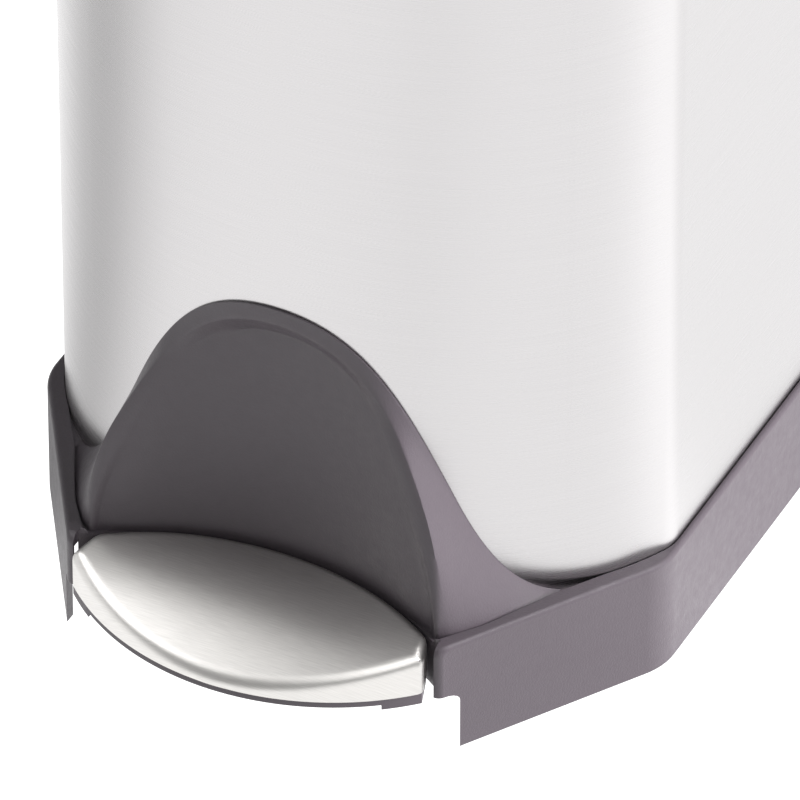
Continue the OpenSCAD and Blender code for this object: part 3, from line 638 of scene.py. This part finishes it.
def glow_by_direction(tree, vector, base, lobes):
    """A strength that is base plus, for each lobe (direction, power, height), a soft bump."""
    def step(kind, *inputs, **settings):
        node = tree.nodes.new("ShaderNode" + kind)
        for key, value in settings.items():
            setattr(node, key, value)
        for socket, value in zip(node.inputs, inputs):
            if isinstance(value, bpy.types.NodeSocket):
                tree.links.new(value, socket)
            else:
                socket.default_value = value
        return node.outputs["Value" if "Value" in node.outputs else 0]

    unit = tree.nodes.new("ShaderNodeVectorMath")
    unit.operation = "NORMALIZE"
    tree.links.new(vector, unit.inputs[0])
    total = base
    for direction, power, height in lobes:
        facing = step("VectorMath", unit.outputs[0], Vector(direction).normalized(),
                      operation="DOT_PRODUCT")
        front = step("Math", facing, 0, operation="MAXIMUM")
        lobe = step("Math", front, power, operation="POWER")
        total = step("Math", lobe, height, total, operation="MULTIPLY_ADD")
    return total


def around(azimuth):
    """A level direction, in degrees from +X towards +Y."""
    return (math.cos(math.radians(azimuth)), math.sin(math.radians(azimuth)), 0)


FLOOR_CENTRE = (-0.04, -0.11, 0)
FLOOR_HALF = 8.0
FLOOR_BASE = 1.40
FLOOR_LOBES = [(around(190), 9, -0.66), (around(292), 22, -0.08), (around(8), 50, 0.40)]
SKY_BASE = 0.22
SKY_LOBES = [((0, 0, 1), 2, 0.3), (around(15), 3, 0.5)]


def floor(name, lobes):
    """A glowing white sweep, with the lobes measured from FLOOR_CENTRE."""
    mesh = bpy.data.meshes.new(name)
    corners = [(x * FLOOR_HALF, y * FLOOR_HALF, 0) for x, y in ((-1, -1), (1, -1), (1, 1), (-1, 1))]
    mesh.from_pydata(corners, [], [(0, 1, 2, 3)])
    obj = bpy.data.objects.new(name, mesh)
    obj.location = FLOOR_CENTRE
    m = Nodes(name + "_white")
    glow = m.add("Emission", Strength=FLOOR_BASE)
    if lobes:
        strength = glow_by_direction(m.tree, m.coords(), FLOOR_BASE, lobes)
        m.link(strength, glow.inputs["Strength"])
    m.link(glow.outputs[0], m.tree.nodes["Material Output"].inputs["Surface"])
    mesh.materials.append(m.material)
    bpy.context.scene.collection.objects.link(obj)
    return obj


def floors():
    """A plain floor for the eye, and one that only mirrors see, with the lobes."""
    seen = floor("floor", [])
    seen.visible_glossy = False
    mirrored = floor("floor_in_mirrors", FLOOR_LOBES)
    mirrored.visible_camera = False
    mirrored.visible_diffuse = False


def softbox(name, place, size, power, seen_by="both", target=(0, 0, 0.2)):
    """An area light aimed at the can. seen_by is both, diffuse or glossy."""
    data = bpy.data.lights.new(name, "AREA")
    data.shape = "RECTANGLE"
    data.size, data.size_y = size
    data.energy = power
    obj = bpy.data.objects.new(name, data)
    obj.location = place
    obj.rotation_euler = (Vector(target) - Vector(place)).to_track_quat("-Z", "Y").to_euler()
    obj.visible_glossy = seen_by != "diffuse"
    obj.visible_diffuse = seen_by != "glossy"
    obj.visible_camera = False
    bpy.context.scene.collection.objects.link(obj)


def room():
    world = bpy.data.worlds.new("studio")
    bpy.context.scene.world = world
    world.use_nodes = True
    tree = world.node_tree
    where = tree.nodes.new("ShaderNodeTexCoord").outputs["Generated"]
    tree.links.new(glow_by_direction(tree, where, SKY_BASE, SKY_LOBES),
                   tree.nodes["Background"].inputs["Strength"])
    tree.nodes["Background"].inputs["Color"].default_value = (1, 1, 1, 1)
    bpy.context.scene.view_settings.view_transform = "Standard"
    floors()
    softbox("right_box", (2.6, 0.7, 1.0), (1.6, 1.6), 245, seen_by="diffuse")
    softbox("right_top", (1.7, 0.3, 2.2), (1.0, 1.0), 40)
    softbox("low_left", (-1.6, -0.9, 0.25), (2.0, 0.6), 3.4, seen_by="glossy")
    softbox("low_front", (0.9, -1.7, 0.25), (1.6, 0.6), 3, seen_by="glossy")
    softbox("front_top", (0.45, -0.75, 1.3), (1.2, 1.2), 6.5, seen_by="glossy")
    softbox("top_left", (-0.30, -0.33, 0.30), (0.34, 0.34), 0.82, seen_by="glossy",
            target=(-0.29, -0.33, 0))


# ---- Skirt ----------------------------------------------------------------------------
SKIRT_H, NOTCH_H, NOTCH_X = 46, 24.5, 77
TAB_Y, TAB_R, TAB_MIN_X = -10, 4, 71
SKIRT_MIDDLE, LID_MIDDLE_Y = (0, 150), 200


def near(values, target, tolerance=0.05):
    return all(abs(v - target) < tolerance for v in values)


def looks_out(face, middle):
    """True for an upright face that looks away from the middle."""
    p = local(face.calc_center_median())
    n = face.normal
    return abs(n.z) < 0.1 and n.x * (p.x - middle[0]) + n.y * (p.y - middle[1]) > 0


def faces_out(edge, middle=SKIRT_MIDDLE):
    """True where one of the edge's faces is level and the other is upright and looks outwards."""
    level = [f for f in edge.link_faces if f.normal.z > 0.9]
    upright = [f for f in edge.link_faces if looks_out(f, middle)]
    return len(level) == 1 and len(upright) == 1


def base_frame():
    """The moulded base: a soft top edge, soft tabs beside the pedal and filleted notches."""
    def top_edge(a, b, edge):
        return near((a.z, b.z), SKIRT_H) and faces_out(edge)

    def tab_edge(a, b, edge):
        upright = near((a.y, b.y), TAB_Y) and abs(a.x - b.x) < 0.1 and abs(a.x) > TAB_MIN_X
        return upright and abs(a.z - b.z) > 5

    def tab_nose(a, b, edge):
        return near((a.y, b.y), TAB_Y) and near((a.z, b.z), SKIRT_H)

    def tab_bend(a, b, edge):
        close = near((a.y, b.y), TAB_Y, TAB_R + 0.1) and near((a.z, b.z), SKIRT_H, TAB_R + 0.1)
        turn = edge.calc_face_angle() > 1 and abs(a.z - b.z) > 0.05
        sides = [f for f in edge.link_faces if looks_out(f, SKIRT_MIDDLE) and abs(f.normal.y) < 0.99]
        return close and turn and len(sides) > 0

    def soft(a, b, edge):
        return top_edge(a, b, edge) or tab_edge(a, b, edge) or tab_bend(a, b, edge)

    def notch_fillet(a, b, edge):
        return near((a.z, b.z), NOTCH_H) and near((abs(a.x), abs(b.x)), NOTCH_X)

    rules = [(tab_nose, TAB_R, 6), (soft, 1.8, 6), (notch_fillet, 3.5, 5)]
    rounded_copy("base_frame", rules, width=0.35)


# ---- Lids, collar, covers and bucket ------------------------------------------------
def box_top(node):
    """The height of a node's highest point in working coordinates."""
    return local(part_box(node)[1]).z


def outer_rim(height, middle=(0, LID_MIDDLE_Y)):
    """Test for edges at a height where a level face meets an upright one that looks outwards."""
    def test(a, b, edge):
        return near((a.z, b.z), height) and faces_out(edge, middle)
    return test


COLLAR_TO_COVER_TOP = 24.3
COLLAR_TOP = box_top("mechanism_cover") - COLLAR_TO_COVER_TOP
LONG_EDGE = 12


def back_rim(node):
    """Test for the rim of a node's rear face."""
    back = local(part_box(node)[1]).y

    def test(a, b, edge):
        side = any(abs(f.normal.y) < 0.1 for f in edge.link_faces)
        return near((a.y, b.y), back) and (a - b).length > LONG_EDGE and side
    return test


def lid_skin(node):
    """A pressed lid: the top turns down into its rim over a soft radius."""
    middle = (sum(local(c).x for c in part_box(node)) / 2, LID_MIDDLE_Y)
    rounded_copy(node, [(outer_rim(box_top(node), middle), 2.2, 6)], width=0.25)


camera()
room()
body_shell()
arch_trim()
pedal_cover()
base_frame()
for side in ("left", "right"):
    lid_skin(side + "_lid_skin")

OWN_ROUNDING = {
    "mechanism_cover": ((outer_rim(box_top("mechanism_cover")), 2.2, 6), 0.25),
    "top_collar": ((outer_rim(COLLAR_TOP), 1.6, 4), 0.3),
    "rear_cover": ((back_rim("rear_cover"), 2.2, 5), 0.4),
    "inner_bucket": ((outer_rim(box_top("inner_bucket")), 1.2, 4), 0.4),
}
for name, (rule, width) in OWN_ROUNDING.items():
    rounded_copy(name, [rule], width)
MADE_ABOVE = {"body_shell", "arch_trim", "pedal_cover", "base_frame", "left_lid_skin", "right_lid_skin"}
for name in sorted(set(frame["nodes"]) - MADE_ABOVE - set(OWN_ROUNDING)):
    rounded_copy(name, width=0.3)
